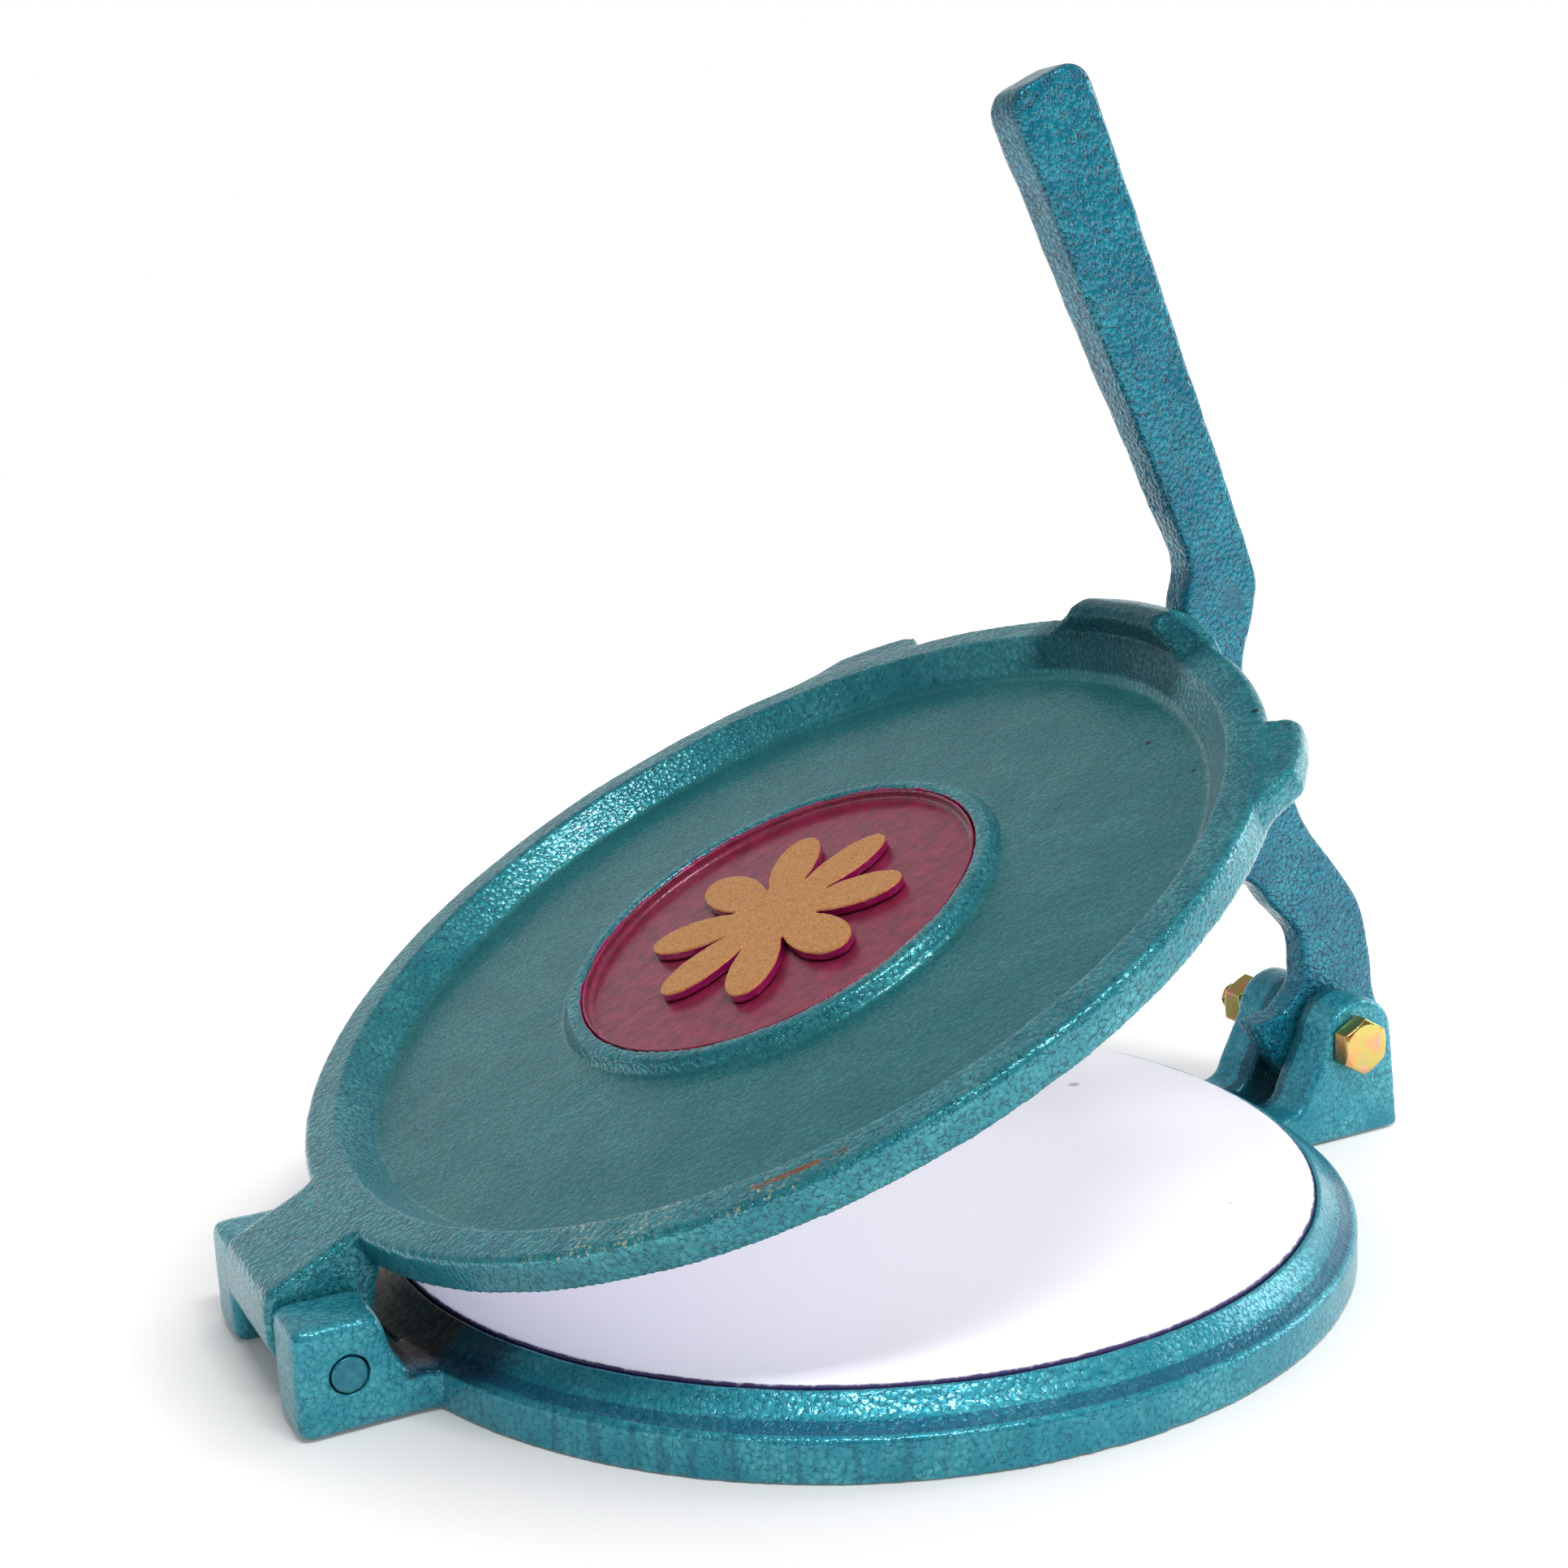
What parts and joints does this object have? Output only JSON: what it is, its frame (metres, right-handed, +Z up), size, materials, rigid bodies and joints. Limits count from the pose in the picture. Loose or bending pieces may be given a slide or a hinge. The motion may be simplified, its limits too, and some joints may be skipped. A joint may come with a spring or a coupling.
{
  "type": "roti press",
  "caption": "Cast-iron roti press: two hinged round plates with white coated press faces, a hooked pressing lever on a bolted clevis, and a round badge with a plain rosette.",
  "frame": {"origin": "centre of the base disc on the plane that it stands on", "axes": "+Z up, +X from the hinge towards the lever, Y along the hinge pin and the pivot bolt"},
  "size_m": [0.263, 0.2012, 0.2271],
  "materials": {
    "base_enamel": "teal hammertone enamel",
    "plate_enamel": "teal hammertone enamel",
    "lever_enamel": "teal hammertone enamel",
    "pin_enamel": "steel pin painted over with the same enamel",
    "face_coating": "white satin coating",
    "badge_enamel": "crimson gloss enamel",
    "badge_gilt": "gilt paint",
    "yellow_zinc": "yellow zinc plate"
  },
  "bodies": {
    "base": {"base_plate": "base_enamel", "press_face_lower": "face_coating", "pivot_bolt": "yellow_zinc", "pivot_nut": "yellow_zinc"},
    "pin": {"hinge_pin": "pin_enamel"},
    "plate": {"top_plate": "plate_enamel", "press_face_upper": "face_coating", "badge_floor": "badge_enamel", "badge_rosette": "badge_gilt"},
    "lever": {"lever": "lever_enamel"}
  },
  "joints": [
    {"name": "lever_swing", "type": "hinge", "parent": "base", "child": "lever", "pos_m": [0.118, 0, 0.022], "axis": [0, 1, 0], "range_deg": [0, 38]},
    {"name": "plate_lower", "type": "hinge", "parent": "base", "child": "pin", "pos_m": [-0.1115, 0, 0.0106], "axis": [0, 1, 0], "range_deg": [0, 26.01]},
    {"name": "plate_open", "type": "hinge", "parent": "pin", "child": "plate", "pos_m": [-0.1115, 0, 0.0106], "axis": [0, -1, 0], "range_deg": [0, 74]}
  ],
  "couplings": [
    {"joint": "plate_lower", "follows": "lever_swing", "ratio": 0.6842}
  ]
}
